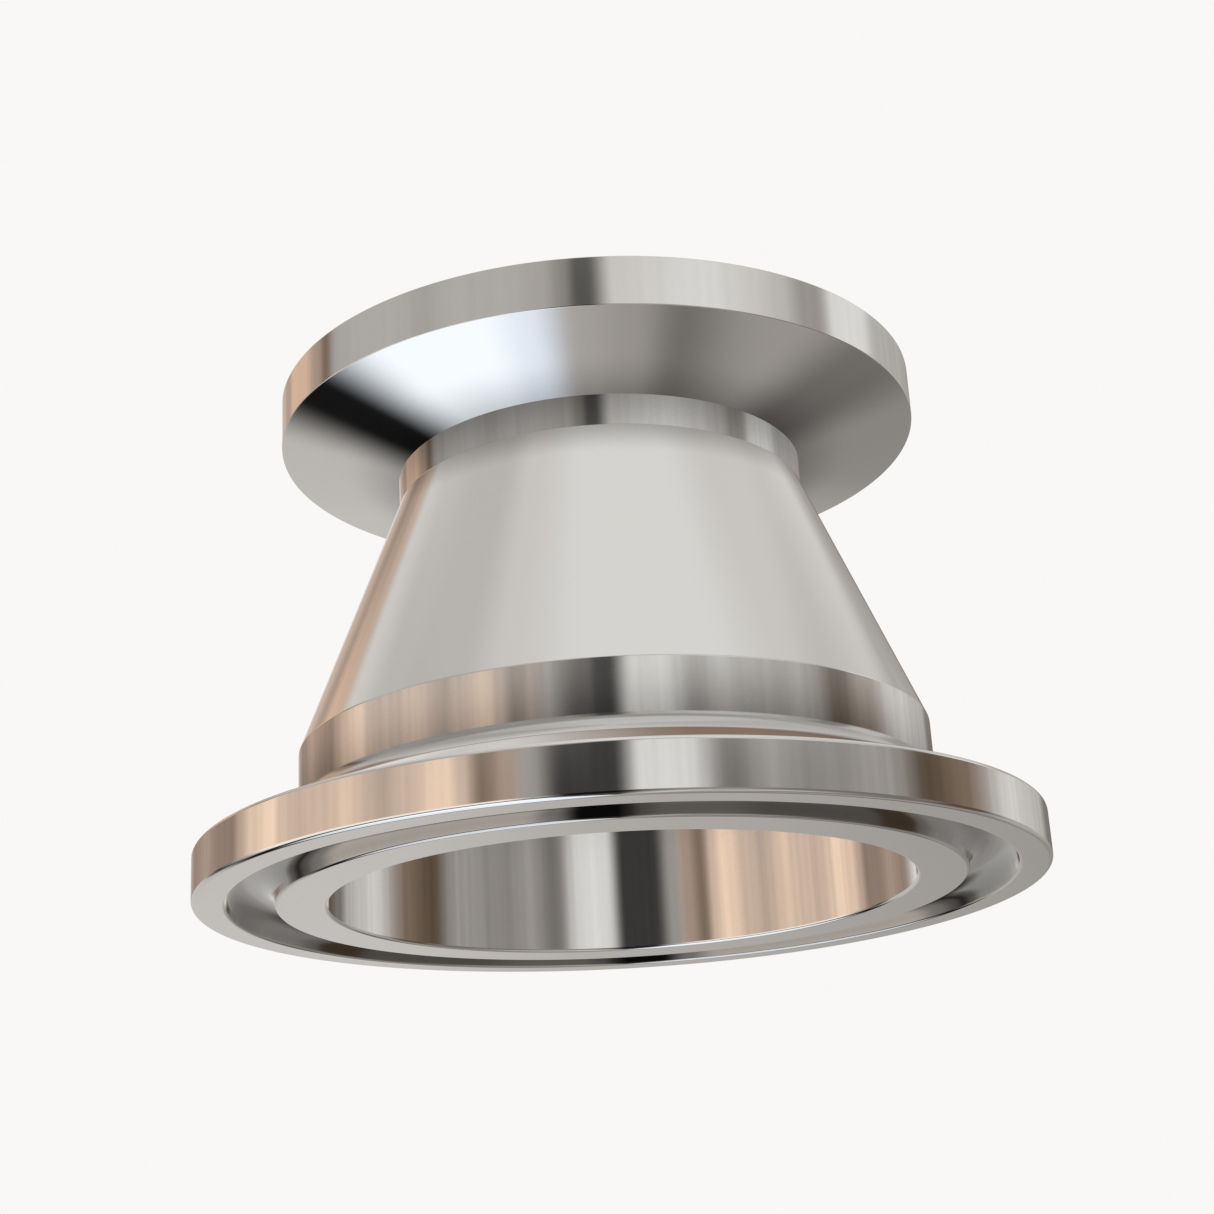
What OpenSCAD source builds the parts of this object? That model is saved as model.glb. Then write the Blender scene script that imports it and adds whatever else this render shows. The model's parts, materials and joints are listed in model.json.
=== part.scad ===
// Conical reducer: a clamp ferrule at the large end, a small vacuum flange at the other.
// The origin is the centre of the large end's sealing face, and +Z runs along the axis to the small end.
// Every piece is a ring, turned from its half section: x is the radius and y the height.

/* [Clamp ferrule] */
// Diameter of the clamp rim
rim_d = 50.4; // [48:0.1:53]
// Height of the rim's straight edge, from the sealing face to the back taper
rim_h = 2.85; // [2:0.05:3.5]
// Slope of the rim's back, from the sealing face
rim_taper = 20; // [15:1:25]
// Radius of the rounding on the rim's edges
rim_round = 0.25; // [0.1:0.05:0.6]
// Radius of the fillet between the rim's back and the tube
root_fillet = 1.25; // [0.5:0.05:2]
// Radius of the rounding at the mouth of the bore
mouth_round = 0.2; // [0.1:0.05:0.5]

/* [Gasket groove] */
// Diameter of the groove's centre line
groove_d = 43.7; // [43:0.1:44.6]
// Width of the groove at the sealing face
groove_w = 2.9; // [2:0.1:3]
// Slope of the groove's walls, from the axis
groove_slope = 10; // [4:1:15]
// Depth of the groove
groove_depth = 1.6; // [1.3:0.1:1.8]
// Radius of the rounding on the groove's edges
groove_round = 0.2; // [0.05:0.05:0.3]

/* [Tube and cone] */
// Outer diameter of the tube at the large end
large_d = 38.1; // [36:0.1:40]
// Outer diameter of the neck at the small end
neck_d = 25.4; // [24:0.1:26]
// Wall thickness of the tube, cone and neck
wall = 1.65; // [1.2:0.05:2]
// Height where the cone starts, outside
cone_z = 9.0; // [9:0.1:11]
// Height where the cone ends and the neck starts, outside
neck_z = 25.1; // [23:0.1:26]

/* [Vacuum flange] */
// Outer diameter of the flange
flange_d = 40; // [38:0.1:42]
// Height of the flange's straight rim
flange_rim_h = 3; // [2.5:0.1:3.5]
// Slope of the flange's back, from its face
flange_taper = 15; // [12:1:18]
// Diameter of the recess for the centring ring
recess_d = 26.2; // [26:0.05:27]
// Depth of the recess for the centring ring
recess_depth = 3; // [2.5:0.1:3.2]
// Overall height, from the sealing face to the vacuum flange's face
total_h = 32; // [31:0.1:36]
// Radius of the rounding on the flange's edges
flange_round = 0.05; // [0.05:0.05:0.4]

/* [Welds] */
// Height of the middle of the butt weld
weld_z = 7.5; // [7.4:0.1:7.6]
// Width of the butt weld at the outer surface
weld_outer_w = 1.6; // [1:0.1:2]
// Width of the butt weld at the bore
weld_root_w = 0.8; // [0.4:0.1:1]
// Depth of the seal weld below the floor of the recess
seal_depth = 0.8; // [0.4:0.1:1.2]

/* [Hidden] */
$fn = 180;
rim_r = rim_d / 2;
large_r = large_d / 2;
neck_r = neck_d / 2;
large_bore_r = large_r - wall;
small_bore_r = neck_r - wall;
flange_r = flange_d / 2;
recess_r = recess_d / 2;
groove_r = groove_d / 2;
groove_half_w = groove_w / 2;

// the groove's bottom is one arc that meets both of its sloping walls smoothly
groove_bottom_r = (groove_half_w * cos(groove_slope) - groove_depth * sin(groove_slope))
    / (1 - sin(groove_slope));

// heights of the large end's back and of the vacuum flange's back and floor
rim_root_z = rim_h + (rim_r - large_r) * tan(rim_taper);
flange_rim_z = total_h - flange_rim_h;
flange_root_z = flange_rim_z - (flange_r - neck_r) * tan(flange_taper);
floor_z = total_h - recess_depth;
neck_top_z = floor_z - seal_depth;

// the cone's inner surface lies one wall thickness inside its outer one, which moves its two corners
// along the bore towards the large end
cone_angle = atan((large_r - neck_r) / (neck_z - cone_z));
corner_shift = wall * tan(cone_angle / 2);

function heading(angle) = [cos(angle), sin(angle)];

// The piece of metal between a corner and the arc that rounds it. Taking it away rounds an outer
// corner, and adding it fills an inner one. from and to are the headings of the corner's two edges.
module corner_piece(corner, from, to, radius) {
    half = abs(to - from) / 2;
    reach = radius / tan(half);
    centre = corner + heading((from + to) / 2) * radius / sin(half);
    difference() {
        polygon([corner, corner + heading(from) * reach, centre, corner + heading(to) * reach]);
        translate(centre) circle(r = radius);
    }
}

// Half section of the groove: sloping walls, a round bottom and rounded edges
module groove_section() {
    bottom = [groove_r, groove_depth - groove_bottom_r];
    touch_z = bottom.y + groove_bottom_r * sin(groove_slope);
    touch_half_w = groove_bottom_r * cos(groove_slope);
    polygon([
        [groove_r - groove_half_w, 0],
        [groove_r + groove_half_w, 0],
        [groove_r + touch_half_w, touch_z],
        [groove_r - touch_half_w, touch_z]
    ]);
    translate(bottom) circle(r = groove_bottom_r);
    corner_piece([groove_r - groove_half_w, 0], 90 - groove_slope, 180, groove_round);
    corner_piece([groove_r + groove_half_w, 0], 0, 90 + groove_slope, groove_round);
}

module clamp_ferrule() color("gainsboro") rotate_extrude() difference() {
    union() {
        polygon([
            [large_bore_r, 0],
            [rim_r, 0],
            [rim_r, rim_h],
            [large_r, rim_root_z],
            [large_r, weld_z - weld_outer_w / 2],
            [large_bore_r, weld_z - weld_root_w / 2]
        ]);
        corner_piece([large_r, rim_root_z], -rim_taper, 90, root_fillet);
    }
    corner_piece([large_bore_r, 0], 0, 90, mouth_round);
    corner_piece([rim_r, 0], 90, 180, rim_round);
    corner_piece([rim_r, rim_h], 180 - rim_taper, 270, rim_round);
    groove_section();
}

module butt_weld() color("silver") rotate_extrude() polygon([
    [large_bore_r, weld_z - weld_root_w / 2],
    [large_r, weld_z - weld_outer_w / 2],
    [large_r, weld_z + weld_outer_w / 2],
    [large_bore_r, weld_z + weld_root_w / 2]
]);

module cone_body() color("gainsboro") rotate_extrude() polygon([
    [large_bore_r, weld_z + weld_root_w / 2],
    [large_r, weld_z + weld_outer_w / 2],
    [large_r, cone_z],
    [neck_r, neck_z],
    [neck_r, neck_top_z],
    [small_bore_r, neck_top_z],
    [small_bore_r, neck_z - corner_shift],
    [large_bore_r, cone_z - corner_shift]
]);

module seal_weld() color("silver") rotate_extrude() polygon([
    [small_bore_r, neck_top_z],
    [neck_r, neck_top_z],
    [neck_r, floor_z],
    [small_bore_r, floor_z]
]);

module vacuum_flange() color("gainsboro") rotate_extrude() difference() {
    polygon([
        [neck_r, flange_root_z],
        [flange_r, flange_rim_z],
        [flange_r, total_h],
        [recess_r, total_h],
        [recess_r, floor_z],
        [neck_r, floor_z]
    ]);
    corner_piece([flange_r, flange_rim_z], 90, 180 + flange_taper, flange_round);
    corner_piece([flange_r, total_h], 180, 270, flange_round);
    corner_piece([recess_r, total_h], -90, 0, flange_round);
}

clamp_ferrule();
butt_weld();
cone_body();
seal_weld();
vacuum_flange();
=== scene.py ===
"""Conical pipe reducer: the visual model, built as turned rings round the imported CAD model.

Lengths are in metres, in the CAD model's frame: +Z runs from the clamp ferrule to the vacuum flange.
Azimuths are in degrees from +Y, which points away from the camera, and grow towards +X.
"""

import json
import math

import bpy
from mathutils import Matrix, Vector


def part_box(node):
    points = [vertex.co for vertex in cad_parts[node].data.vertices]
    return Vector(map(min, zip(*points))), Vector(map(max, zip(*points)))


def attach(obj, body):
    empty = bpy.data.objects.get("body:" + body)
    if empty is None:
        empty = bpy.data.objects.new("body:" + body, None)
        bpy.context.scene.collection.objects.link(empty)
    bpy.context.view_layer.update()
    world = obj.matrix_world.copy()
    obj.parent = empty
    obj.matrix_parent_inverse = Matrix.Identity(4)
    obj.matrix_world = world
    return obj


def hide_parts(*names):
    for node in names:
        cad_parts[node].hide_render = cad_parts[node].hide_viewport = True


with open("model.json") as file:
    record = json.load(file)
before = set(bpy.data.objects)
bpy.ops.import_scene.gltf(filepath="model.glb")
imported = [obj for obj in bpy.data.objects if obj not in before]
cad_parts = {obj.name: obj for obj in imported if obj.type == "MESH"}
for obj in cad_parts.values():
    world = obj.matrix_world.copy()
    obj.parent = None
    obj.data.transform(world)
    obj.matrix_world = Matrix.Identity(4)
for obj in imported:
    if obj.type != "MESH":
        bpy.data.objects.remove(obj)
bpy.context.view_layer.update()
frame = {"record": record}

MM = 0.001

# ---------------------------------------------------------------- camera

LENS_MM = 60.7
SENSOR_MM = 36
CLIP_START = 1 * MM
CAMERA_PLACE = Vector((0, -120.5 * MM, -24.03 * MM))
# Angles in degrees
CAMERA_PITCH = 19.41
CAMERA_ROLL = -3.24
CAMERA_YAW = -0.012


def add_camera():
    """Looks up at the part from in front of it and below, with the horizon slightly tilted."""
    data = bpy.data.cameras.new("camera")
    data.lens = LENS_MM
    data.sensor_width = SENSOR_MM
    data.clip_start = CLIP_START
    camera = bpy.data.objects.new("camera", data)
    pitch = Matrix.Rotation(math.radians(90 + CAMERA_PITCH), 4, "X")
    roll = Matrix.Rotation(math.radians(CAMERA_ROLL), 4, "Z")
    yaw = Matrix.Rotation(math.radians(CAMERA_YAW), 4, "Z")
    camera.matrix_world = Matrix.Translation(CAMERA_PLACE) @ yaw @ pitch @ roll
    bpy.context.scene.collection.objects.link(camera)
    bpy.context.scene.camera = camera


# ---------------------------------------------------------------- node graphs


class Graph:
    """Adds nodes to a node tree. An input is given by its name or its index."""

    def __init__(self, tree):
        self.tree = tree
        tree.nodes.clear()

    def add(self, kind, inputs=None, **settings):
        node = self.tree.nodes.new(kind)
        for name, value in settings.items():
            setattr(node, name, value)
        for key, value in (inputs or {}).items():
            self.join(value, node.inputs[key])
        return node

    def join(self, value, socket):
        if isinstance(value, bpy.types.NodeSocket):
            self.tree.links.new(value, socket)
        else:
            socket.default_value = value

    def math(self, operation, *values):
        return self.add("ShaderNodeMath", dict(enumerate(values)), operation=operation).outputs[0]

    def vector(self, operation, *values):
        return self.add("ShaderNodeVectorMath", dict(enumerate(values)), operation=operation).outputs

    def smooth_step(self, value, start, end):
        inputs = {"Value": value, "From Min": start, "From Max": end}
        return self.add("ShaderNodeMapRange", inputs, interpolation_type="SMOOTHSTEP").outputs[0]

    def rescale(self, value, low, high):
        """Takes a value from 0..1 to low..high."""
        return self.add("ShaderNodeMapRange", {"Value": value, "To Min": low, "To Max": high}).outputs[0]

    def mix(self, factor, first, second, blend="MIX"):
        node = self.add("ShaderNodeMix", data_type="RGBA", blend_type=blend)
        self.join(factor, node.inputs["Factor"])
        self.join(first, node.inputs[6])
        self.join(second, node.inputs[7])
        return node.outputs[2]

    def mix_value(self, factor, first, second):
        return self.add("ShaderNodeMix", {0: factor, 2: first, 3: second}).outputs[0]

    def noise(self, place, scale, detail):
        inputs = {"Vector": place, "Scale": scale, "Detail": detail}
        return self.add("ShaderNodeTexNoise", inputs).outputs["Fac"]

    def ramp(self, factor, stops):
        """stops are (place from 0 to 1, colour), in order, and each colour eases into the next."""
        node = self.add("ShaderNodeValToRGB", {"Fac": factor})
        ramp = node.color_ramp
        ramp.interpolation = "EASE"
        ramp.elements.remove(ramp.elements[1])
        ramp.elements[0].position = stops[0][0]
        ramp.elements[0].color = stops[0][1]
        for place, colour in stops[1:]:
            ramp.elements.new(place).color = colour
        return node.outputs["Color"]


# ---------------------------------------------------------------- studio

STEEL = (0.72, 0.71, 0.69)

# Tones of the panels that stand round the part, as 8-bit sRGB levels of their reflections in the steel.
# A level over 255 is brighter than the picture's white.
TONES = {
    "ink": (20, 20, 20),
    "soot": (56, 55, 54),
    "slate": (84, 82, 80),
    "lead": (112, 108, 104),
    "grey": (134, 130, 126),
    "fog": (149, 145, 141),
    "ash": (162, 158, 154),
    "dove": (171, 168, 164),
    "silver": (182, 179, 175),
    "pearl": (199, 196, 192),
    "white": (212, 211, 208),
    "chalk": (240, 230, 220),
    "glow": (246, 252, 258),
    "ice": (224, 232, 244),
    "bark": (86, 73, 59),
    "umber": (118, 102, 88),
    "taupe": (140, 122, 110),
    "clay": (162, 142, 128),
    "tan": (182, 162, 147),
    "apricot": (204, 172, 149),
    "sand": (200, 177, 160),
    "peach": (216, 190, 168),
    "cream": (236, 208, 183),
}

# Each ring is a list of (azimuth, tone). It starts behind the camera and runs round by the camera's
# left, the far side and the camera's right.
FLOOR_RING = [
    (-180, "soot"), (-166, "slate"), (-152, "glow"), (-75, "glow"), (-58, "silver"), (-48, "glow"),
    (-32, "ice"), (-24, "glow"), (-16, "glow"), (-10, "ice"), (-2, "ash"), (7, "fog"), (14, "lead"),
    (23, "fog"), (60, "fog"), (78, "umber"), (100, "grey"), (120, "silver"), (145, "ash"),
    (158, "pearl"), (170, "ash"), (180, "soot"),
]
SKIRT_RING = [
    (-180, "ink"), (-10, "ink"), (2, "lead"), (13, "slate"), (19, "slate"), (27, "lead"),
    (40, "grey"), (60, "grey"), (76, "umber"), (95, "lead"), (120, "grey"), (155, "ash"),
    (168, "grey"), (180, "ink"),
]
LOW_RING = [
    (-180, "ink"), (-168, "ink"), (-160, "ash"), (-150, "chalk"), (-80, "chalk"), (-68, "ash"),
    (-60, "lead"), (-55, "soot"), (-50, "lead"), (-43, "silver"), (-8, "silver"), (2, "ash"),
    (10, "fog"), (16, "grey"), (24, "grey"), (45, "ash"), (60, "ash"), (68, "grey"),
    (75, "bark"), (85, "bark"), (95, "lead"), (130, "lead"), (150, "grey"), (165, "grey"),
    (172, "lead"), (177, "soot"), (180, "ink"),
]
MIDDLE_RING = [
    (-180, "soot"), (-166, "soot"), (-159, "fog"), (-152, "clay"), (-146, "umber"), (-141, "sand"),
    (-136, "cream"), (-126, "sand"), (-118, "tan"), (-107, "peach"), (-98, "sand"), (-87, "sand"),
    (-79, "cream"), (-71, "peach"), (-60, "taupe"), (-51, "taupe"), (-43, "clay"), (-28, "taupe"),
    (-6, "pearl"), (5, "bark"), (25, "lead"), (36, "dove"), (58, "pearl"), (80, "umber"),
    (94, "bark"), (107, "fog"), (130, "grey"), (140, "fog"), (151, "lead"), (163, "white"),
    (173, "white"), (180, "soot"),
]
UPPER_RING = [
    (-180, "slate"), (-176, "slate"), (-171, "grey"), (-164, "ash"), (-150, "dove"), (-130, "dove"),
    (-120, "ash"), (-108, "dove"), (-88, "dove"), (-76, "ash"), (-69, "umber"), (-63, "clay"),
    (-51, "apricot"), (-41, "apricot"), (-33, "clay"), (-21, "tan"), (-12, "pearl"), (-5, "silver"),
    (3, "umber"), (9, "umber"), (22, "fog"), (36, "ash"), (56, "dove"), (68, "white"), (82, "white"),
    (92, "fog"), (98, "fog"), (108, "silver"), (120, "pearl"), (140, "white"), (171, "pearl"),
    (180, "slate"),
]
TOP_RING = [
    (-180, "dove"), (-110, "ash"), (-72, "silver"), (-54, "pearl"), (-46, "tan"), (-40, "clay"),
    (-32, "taupe"), (-20, "tan"), (8, "clay"), (20, "fog"), (32, "silver"), (42, "pearl"),
    (90, "silver"), (110, "silver"), (180, "dove"),
]
CEILING_RING = [
    (-180, "white"), (-170, "white"), (-128, "pearl"), (-105, "silver"), (-90, "silver"), (-50, "pearl"),
    (-10, "white"), (40, "pearl"), (94, "pearl"), (130, "white"), (180, "white"),
]

# The rings from the floor up, and the elevations between which each gives way to the next one up
RINGS = [FLOOR_RING, SKIRT_RING, LOW_RING, MIDDLE_RING, UPPER_RING, TOP_RING, CEILING_RING]
RING_EDGES = [(-46, -36.5), (-32.5, -22), (6, 9), (14, 21.5), (28, 36), (42, 50)]

BACKDROP = (0.956, 0.93, 0.93, 1)

# The panels are unevenly bright, in upright streaks that fade out above and below one elevation
STREAK_SCALE = (22, 22, 0.7)
STREAK_STRENGTH = 0.22
STREAK_ELEVATION = 13
STREAK_FADE_START = 4
STREAK_FADE_END = 22

FLOOR_HEIGHT = -140 * MM
FLOOR_RADIUS = 1.5
FLOOR_SIDES = 96
FLOOR_COLOUR = (0.86, 0.852, 0.868, 1)
FLOOR_ROUGHNESS = 0.9
FLOOR_SHINE = 0.1
# Angles in degrees
SUN_STRENGTH = 1.35
SUN_ANGLE = 40
SUN_TILT_X = 12
SUN_TILT_Y = -10


def round_headings(count):
    """The cosine and sine of equal turns, all the way round."""
    turns = [2 * math.pi * turn / count for turn in range(count)]
    return [(math.cos(turn), math.sin(turn)) for turn in turns]


def linear(level):
    """The linear value of an 8-bit sRGB level."""
    share = level / 255
    return share / 12.92 if share <= 0.04045 else ((share + 0.055) / 1.055) ** 2.4


def panel_colour(tone):
    """The light that a panel has to give, so that its reflection in the steel has this tone."""
    return tuple(linear(level) / metal for level, metal in zip(TONES[tone], STEEL)) + (1,)


def add_surround():
    """A pale backdrop behind the part, and rings of soft panels round it.

    The camera sees the backdrop only. The panels light the part and the floor, and show in the steel."""
    world = bpy.data.worlds.new("studio")
    bpy.context.scene.world = world
    world.use_nodes = True
    graph = Graph(world.node_tree)
    heading = graph.add("ShaderNodeTexCoord").outputs["Generated"]
    x, y, z = graph.add("ShaderNodeSeparateXYZ", {0: heading}).outputs
    turn = graph.math("DIVIDE", graph.math("ARCTAN2", x, y), 2 * math.pi)
    round_place = graph.math("ADD", turn, 0.5)
    elevation = graph.math("DEGREES", graph.math("ARCSINE", z))

    rings = []
    for ring in RINGS:
        stops = [(azimuth / 360 + 0.5, panel_colour(tone)) for azimuth, tone in ring]
        rings.append(graph.ramp(round_place, stops))
    panels = rings[0]
    for ring, (start, end) in zip(rings[1:], RING_EDGES):
        panels = graph.mix(graph.smooth_step(elevation, start, end), panels, ring)

    streak_place = graph.vector("MULTIPLY", heading, STREAK_SCALE)["Vector"]
    streaks = graph.noise(streak_place, scale=1, detail=2)
    streaks = graph.rescale(streaks, 1 - STREAK_STRENGTH, 1 + STREAK_STRENGTH)
    away = graph.math("ABSOLUTE", graph.math("SUBTRACT", elevation, STREAK_ELEVATION))
    fade = graph.smooth_step(away, STREAK_FADE_START, STREAK_FADE_END)
    streaks = graph.mix_value(fade, streaks, 1)
    panels = graph.add("ShaderNodeVectorMath", {0: panels, "Scale": streaks}, operation="SCALE")

    seen = graph.add("ShaderNodeLightPath").outputs["Is Camera Ray"]
    shown = graph.mix(seen, panels.outputs["Vector"], BACKDROP)
    background = graph.add("ShaderNodeBackground", {"Color": shown})
    graph.add("ShaderNodeOutputWorld", {"Surface": background.outputs[0]})


def add_floor():
    """A plain pale disc well below the part, lit by one broad soft light that the steel doesn't show."""
    edge = [
        (FLOOR_RADIUS * cosine, FLOOR_RADIUS * sine, FLOOR_HEIGHT)
        for cosine, sine in round_headings(FLOOR_SIDES)
    ]
    mesh = bpy.data.meshes.new("floor")
    mesh.from_pydata(edge, [], [range(FLOOR_SIDES)])
    floor = bpy.data.objects.new("floor", mesh)
    floor.visible_glossy = False
    material = bpy.data.materials.new("floor")
    material.use_nodes = True
    surface = material.node_tree.nodes["Principled BSDF"]
    surface.inputs["Base Color"].default_value = FLOOR_COLOUR
    surface.inputs["Roughness"].default_value = FLOOR_ROUGHNESS
    surface.inputs["Specular IOR Level"].default_value = FLOOR_SHINE
    mesh.materials.append(material)
    bpy.context.scene.collection.objects.link(floor)

    data = bpy.data.lights.new("soft_light", "SUN")
    data.energy = SUN_STRENGTH
    data.angle = math.radians(SUN_ANGLE)
    light = bpy.data.objects.new("soft_light", data)
    light.rotation_euler = (math.radians(SUN_TILT_X), math.radians(SUN_TILT_Y), 0)
    light.visible_glossy = False
    bpy.context.scene.collection.objects.link(light)


# ---------------------------------------------------------------- turned rings

# Segments round each ring, and the most degrees that one step of a rounded corner turns through
SEGMENTS = 288
ARC_STEP = 9


def ring_quads(turns, count):
    """The faces of a closed ring, whose section has this many points at each of its turns."""
    quads = []
    for turn in range(turns):
        following = (turn + 1) % turns
        for point in range(count):
            after = (point + 1) % count
            quads.append((
                turn * count + point,
                following * count + point,
                following * count + after,
                turn * count + after,
            ))
    return quads


def corner_points(before, corner, after, radius):
    """The points of one rounded or sharp corner, each with its outward normal before and after it.

    The outline runs anticlockwise in the (r, z) plane, so the metal is on its left."""
    way_in = (corner - before).normalized()
    way_out = (after - corner).normalized()
    outward = Vector((way_in.y, -way_in.x))
    turn = math.atan2(way_in.x * way_out.y - way_in.y * way_out.x, way_in.dot(way_out))
    if not radius:
        return [(corner, outward, Vector((way_out.y, -way_out.x)))]
    side = math.copysign(1, turn)
    start = corner - way_in * radius * math.tan(abs(turn) / 2)
    centre = start - outward * radius * side
    steps = max(2, math.ceil(abs(math.degrees(turn)) / ARC_STEP))
    points = []
    for step in range(steps + 1):
        angle = turn * step / steps
        cosine, sine = math.cos(angle), math.sin(angle)
        normal = Vector((
            outward.x * cosine - outward.y * sine,
            outward.x * sine + outward.y * cosine,
        ))
        points.append((centre + normal * radius * side, normal, normal))
    return points


def turned_ring(name, corners):
    """A closed ring turned from an outline of (r, z, corner radius) corners, with exact normals."""
    places = [Vector(corner[:2]) for corner in corners]
    outline = []
    for index, corner in enumerate(corners):
        after = places[(index + 1) % len(places)]
        outline += corner_points(places[index - 1], places[index], after, corner[2])

    around = round_headings(SEGMENTS)
    vertices = [
        (point.x * cosine, point.x * sine, point.y)
        for cosine, sine in around
        for point, _, _ in outline
    ]
    count = len(outline)
    normals = []
    for segment in range(SEGMENTS):
        here = around[segment]
        there = around[(segment + 1) % SEGMENTS]
        for index in range(count):
            # a face starts with the normal after its first point and ends with the one before its second
            first = outline[index][2]
            last = outline[(index + 1) % count][1]
            for normal, (cosine, sine) in ((first, here), (first, there), (last, there), (last, here)):
                normals.append((normal.x * cosine, normal.x * sine, normal.y))

    mesh = bpy.data.meshes.new(name)
    mesh.from_pydata(vertices, [], ring_quads(SEGMENTS, count))
    mesh.polygons.foreach_set("use_smooth", [True] * len(mesh.polygons))
    mesh.normals_split_custom_set(normals)
    return new_piece(name, mesh)


def new_piece(name, mesh):
    """A piece of the part. The pieces don't show in each other's reflections."""
    piece = bpy.data.objects.new(name, mesh)
    bpy.context.scene.collection.objects.link(piece)
    piece.visible_glossy = False
    return piece


# ---------------------------------------------------------------- materials

# Shade painted into the base colour in creases, where an ambient occlusion node finds them: how far it
# reaches, and the share of the colour that is left at its darkest
PAINTED_SHADE_REACH = 4 * MM
PAINTED_SHADE_FLOOR = 0.3
PAINTED_SHADE_SAMPLES = 16

# A turning line lies where z plus this share of the radius is the same, on faces and tubes alike
LINE_RADIUS_SHARE = 1.37
# Each line reads its noise round a circle of this radius, and a larger circle breaks the line up more
LINE_CIRCLE = 2.5
# The share by which the lines change the roughness
LINE_ROUGHNESS = 0.2

# The clouds' size, how sharply they change the colour, and how much they add to the roughness
CLOUD_SCALE = 160
CLOUD_CONTRAST = 1.6
CLOUD_ROUGHNESS = 0.02


def metal_material(name, colour, tint, roughness, line_pitch, line_depth, painted_shade_depth):
    """Metal with fine turning lines, slightly uneven colour, and shade painted into its colour in
    creases. A larger depth of the painted shade darkens creases more.
    """
    material = bpy.data.materials.new(name)
    material.use_nodes = True
    graph = Graph(material.node_tree)
    place = graph.add("ShaderNodeTexCoord").outputs["Object"]
    x, y, z = graph.add("ShaderNodeSeparateXYZ", {0: place}).outputs
    flat = graph.add("ShaderNodeCombineXYZ", {0: x, 1: y}).outputs[0]
    radius = graph.vector("LENGTH", flat)["Value"]
    around = graph.vector("NORMALIZE", flat)["Vector"]

    across = graph.math("ADD", z, graph.math("MULTIPLY", radius, LINE_RADIUS_SHARE))
    line_count = graph.math("DIVIDE", across, line_pitch)
    line_shift = graph.add("ShaderNodeCombineXYZ", {2: line_count}).outputs[0]
    line_place = graph.vector("MULTIPLY", around, (LINE_CIRCLE, LINE_CIRCLE, 0))["Vector"]
    line_place = graph.vector("ADD", line_place, line_shift)["Vector"]
    lines = graph.noise(line_place, scale=1, detail=3)
    clouds = graph.noise(place, CLOUD_SCALE, detail=3)

    tinted = tuple(channel * shift for channel, shift in zip(colour, tint)) + (1,)
    tinted_share = graph.rescale(clouds, (1 - CLOUD_CONTRAST) / 2, (1 + CLOUD_CONTRAST) / 2)
    shade = graph.mix(tinted_share, colour + (1,), tinted)
    # Painted shade: the ambient occlusion darkens the base colour in creases
    crease_painted_shade = graph.add(
        "ShaderNodeAmbientOcclusion", {"Distance": PAINTED_SHADE_REACH}, samples=PAINTED_SHADE_SAMPLES,
    ).outputs["AO"]
    crease_painted_shade = graph.rescale(graph.math("POWER", crease_painted_shade, painted_shade_depth), PAINTED_SHADE_FLOOR, 1)
    shade = graph.mix(1, shade, crease_painted_shade, "MULTIPLY")

    lined = graph.rescale(lines, roughness * (1 - LINE_ROUGHNESS), roughness * (1 + LINE_ROUGHNESS))
    clouded = graph.rescale(clouds, -CLOUD_ROUGHNESS, CLOUD_ROUGHNESS)
    bump = graph.add("ShaderNodeBump", {"Strength": 1, "Distance": line_depth, "Height": lines})
    surface = graph.add("ShaderNodeBsdfPrincipled", {
        "Base Color": shade,
        "Metallic": 1,
        "Roughness": graph.math("ADD", lined, clouded),
        "Normal": bump.outputs[0],
    })
    graph.add("ShaderNodeOutputMaterial", {"Surface": surface.outputs[0]})
    return material


def polished_steel(name, painted_shade_depth):
    """The steel of the ferrule, the cone and the flange."""
    return metal_material(
        name,
        colour=STEEL,
        tint=(1.01, 1, 0.985),
        roughness=0.05,
        line_pitch=0.16 * MM,
        line_depth=0.0001 * MM,
        painted_shade_depth=painted_shade_depth,
    )


def ground_weld_metal():
    """Weld metal that is ground flush and polished, a shade duller than the steel."""
    return metal_material(
        "ground_weld",
        colour=(0.715, 0.705, 0.685),
        tint=(1.01, 1, 0.98),
        roughness=0.07,
        line_pitch=0.12 * MM,
        line_depth=0.00012 * MM,
        painted_shade_depth=3.5,
    )


def weld_bead_metal():
    """Weld metal as it was laid: satin, and faintly straw-coloured in places."""
    return metal_material(
        "weld_bead",
        colour=(0.66, 0.65, 0.63),
        tint=(1.04, 0.98, 0.88),
        roughness=0.26,
        line_pitch=0.3 * MM,
        line_depth=0.001 * MM,
        painted_shade_depth=3,
    )


# ---------------------------------------------------------------- the part

MOUNTS = {mount["name"]: mount for mount in frame["record"]["mounts"]}


def bore_radius(mount):
    return MOUNTS[mount]["dims"]["r_mm"] * MM


RIM_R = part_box("clamp_ferrule")[1].x
TUBE_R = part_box("butt_weld")[1].x
NECK_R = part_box("seal_weld")[1].x
FLANGE_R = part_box("vacuum_flange")[1].x
LARGE_BORE_R = bore_radius("large_end_bore")
SMALL_BORE_R = bore_radius("small_end_bore")
RECESS_R = bore_radius("centring_ring_seat")

WELD_LOW_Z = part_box("butt_weld")[0].z
WELD_HIGH_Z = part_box("butt_weld")[1].z
ROOT_LOW_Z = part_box("clamp_ferrule")[1].z
ROOT_HIGH_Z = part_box("cone_body")[0].z
NECK_TOP_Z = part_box("cone_body")[1].z
RECESS_FLOOR_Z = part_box("seal_weld")[1].z
FLANGE_ROOT_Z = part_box("vacuum_flange")[0].z
TOP_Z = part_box("vacuum_flange")[1].z

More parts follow.
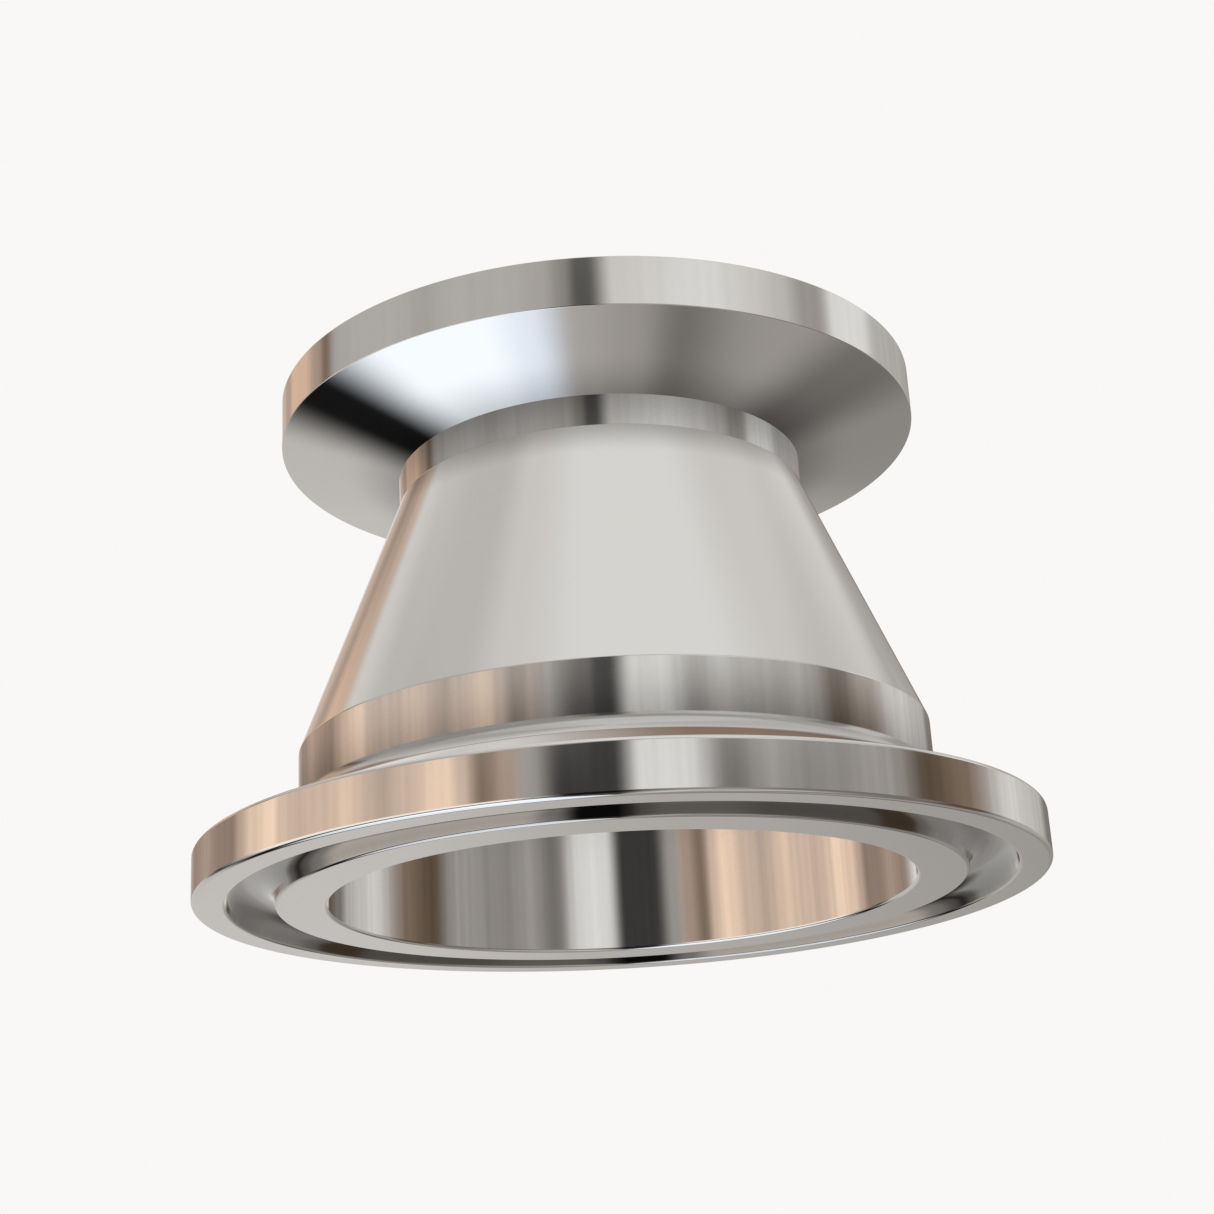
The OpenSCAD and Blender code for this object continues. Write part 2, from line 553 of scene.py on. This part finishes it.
# Sizes of the CAD model that its boxes and mounts don't give
RIM_EDGE_H = 2.85 * MM
RIM_TAPER = math.radians(20)
RIM_ROUND = 0.25 * MM
RIM_ROOT_Z = RIM_EDGE_H + (RIM_R - TUBE_R) * math.tan(RIM_TAPER)
ROOT_FILLET = 1.25 * MM
MOUTH_ROUND = 0.2 * MM

GROOVE_R = 21.85 * MM
GROOVE_HALF_W = 1.45 * MM
GROOVE_SLOPE = math.radians(10)
GROOVE_DEPTH = 1.6 * MM
GROOVE_ROUND = 0.2 * MM
# The groove's sloping walls would meet here, and one arc that touches both is its bottom
GROOVE_APEX_Z = GROOVE_HALF_W / math.tan(GROOVE_SLOPE)
GROOVE_BOTTOM_R = (
    GROOVE_HALF_W * math.cos(GROOVE_SLOPE) - GROOVE_DEPTH * math.sin(GROOVE_SLOPE)
) / (1 - math.sin(GROOVE_SLOPE))

CONE_Z = 9.0 * MM
NECK_Z = 25.1 * MM
WALL = TUBE_R - LARGE_BORE_R
CONE_SLOPE = math.atan((TUBE_R - NECK_R) / (NECK_Z - CONE_Z))
CORNER_SHIFT = WALL * math.tan(CONE_SLOPE / 2)
CREASE_ROUND = 0.25 * MM

FLANGE_TAPER = math.radians(15)
FLANGE_EDGE_Z = FLANGE_ROOT_Z + (FLANGE_R - NECK_R) * math.tan(FLANGE_TAPER)
FLANGE_ROUND = 0.05 * MM


def clamp_ferrule():
    """The large end: a grooved sealing face, a rim with a sloping back, and a short tube."""
    return turned_ring("ferrule", [
        (LARGE_BORE_R, 0, MOUTH_ROUND),
        (GROOVE_R - GROOVE_HALF_W, 0, GROOVE_ROUND),
        (GROOVE_R, GROOVE_APEX_Z, GROOVE_BOTTOM_R),
        (GROOVE_R + GROOVE_HALF_W, 0, GROOVE_ROUND),
        (RIM_R, 0, RIM_ROUND),
        (RIM_R, RIM_EDGE_H, RIM_ROUND),
        (TUBE_R, RIM_ROOT_Z, ROOT_FILLET),
        (TUBE_R, WELD_LOW_Z, 0),
        (LARGE_BORE_R, ROOT_LOW_Z, 0),
    ])


def butt_weld():
    """The ring of weld metal between the ferrule's tube and the cone, wider outside than at the bore."""
    return turned_ring("ground_weld", [
        (LARGE_BORE_R, ROOT_LOW_Z, 0),
        (TUBE_R, WELD_LOW_Z, 0),
        (TUBE_R, WELD_HIGH_Z, 0),
        (LARGE_BORE_R, ROOT_HIGH_Z, 0),
    ])


def cone_body():
    """The cone, with a short straight part at its large end and the neck at its small end."""
    return turned_ring("cone", [
        (LARGE_BORE_R, ROOT_HIGH_Z, 0),
        (TUBE_R, WELD_HIGH_Z, 0),
        (TUBE_R, CONE_Z, CREASE_ROUND),
        (NECK_R, NECK_Z, CREASE_ROUND),
        (NECK_R, NECK_TOP_Z, 0),
        (SMALL_BORE_R, NECK_TOP_Z, 0),
        (SMALL_BORE_R, NECK_Z - CORNER_SHIFT, CREASE_ROUND),
        (LARGE_BORE_R, CONE_Z - CORNER_SHIFT, CREASE_ROUND),
    ])


def vacuum_flange():
    """The small end: a flange with a sloping back, and a recess in its face for a centring ring."""
    return turned_ring("flange", [
        (NECK_R, FLANGE_ROOT_Z, 0),
        (FLANGE_R, FLANGE_EDGE_Z, FLANGE_ROUND),
        (FLANGE_R, TOP_Z, FLANGE_ROUND),
        (RECESS_R, TOP_Z, FLANGE_ROUND),
        (RECESS_R, RECESS_FLOOR_Z, 0),
        (NECK_R, RECESS_FLOOR_Z, 0),
    ])


BEAD_RIPPLES = 84
BEAD_STEPS_PER_RIPPLE = 8
BEAD_POINTS = 14
BEAD_CROWN = 0.16 * MM
BEAD_RIPPLE = 0.025 * MM
# How far a ripple bows back from its two ends to its middle, in radians of its wave
BEAD_LAG = 2.4
# The strength of the wave's overtone, which makes one side of each ripple steeper
BEAD_OVERTONE = 0.35
# A little more than the wave's highest point, so that the bead never rises above the recess's floor
BEAD_SINK = 1.2


def bead_section(turn):
    """The outline of the seal weld at one turn, as (r, z) points with its crown in the middle."""
    section = [(NECK_R, NECK_TOP_Z)]
    for point in range(BEAD_POINTS):
        # from 1 at the neck's outside to -1 at the bore; the ripples fade out at both
        share = 1 - 2 * point / (BEAD_POINTS - 1)
        r = (NECK_R + SMALL_BORE_R) / 2 + share * (NECK_R - SMALL_BORE_R) / 2
        phase = BEAD_RIPPLES * turn - BEAD_LAG * (1 - share * share)
        wave = math.sin(phase) + BEAD_OVERTONE * math.sin(2 * phase)
        ripple = (wave - BEAD_SINK) * BEAD_RIPPLE / 2
        z = RECESS_FLOOR_Z - BEAD_CROWN * share * share + ripple * (1 - share ** 4)
        section.append((r, z))
    section.append((SMALL_BORE_R, NECK_TOP_Z))
    return section


def seal_weld():
    """A crowned bead with overlapping ripples, laid round the end of the neck."""
    steps = BEAD_RIPPLES * BEAD_STEPS_PER_RIPPLE
    count = BEAD_POINTS + 2
    vertices = []
    for step in range(steps):
        turn = 2 * math.pi * step / steps
        vertices += [(r * math.cos(turn), r * math.sin(turn), z) for r, z in bead_section(turn)]
    mesh = bpy.data.meshes.new("seal_bead")
    mesh.from_pydata(vertices, [], ring_quads(steps, count))
    # The crown is smooth, and the bead's two sides and its underside are not
    for face in mesh.polygons:
        face.use_smooth = 0 < face.index % count < count - 2
    return new_piece("seal_bead", mesh)


def build():
    # Crease shade is painted into both steels' colour; the flange's copy of the steel has it painted
    # weaker
    steel = polished_steel("polished_steel", painted_shade_depth=3.5)
    flange_weaker_painted_shade = polished_steel("flange_steel", painted_shade_depth=1.6)
    pieces = [
        (clamp_ferrule(), "clamp_ferrule", "polished_steel", steel),
        (butt_weld(), "butt_weld", "weld_metal", ground_weld_metal()),
        (cone_body(), "cone_body", "polished_steel", steel),
        (seal_weld(), "seal_weld", "weld_metal", weld_bead_metal()),
        (vacuum_flange(), "vacuum_flange", "polished_steel", flange_weaker_painted_shade),
    ]
    for piece, node, slot, material in pieces:
        piece.data.materials.append(material)
        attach(piece, "root")
        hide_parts(node)


add_camera()
add_surround()
add_floor()
build()
bpy.context.scene.view_settings.view_transform = "Standard"
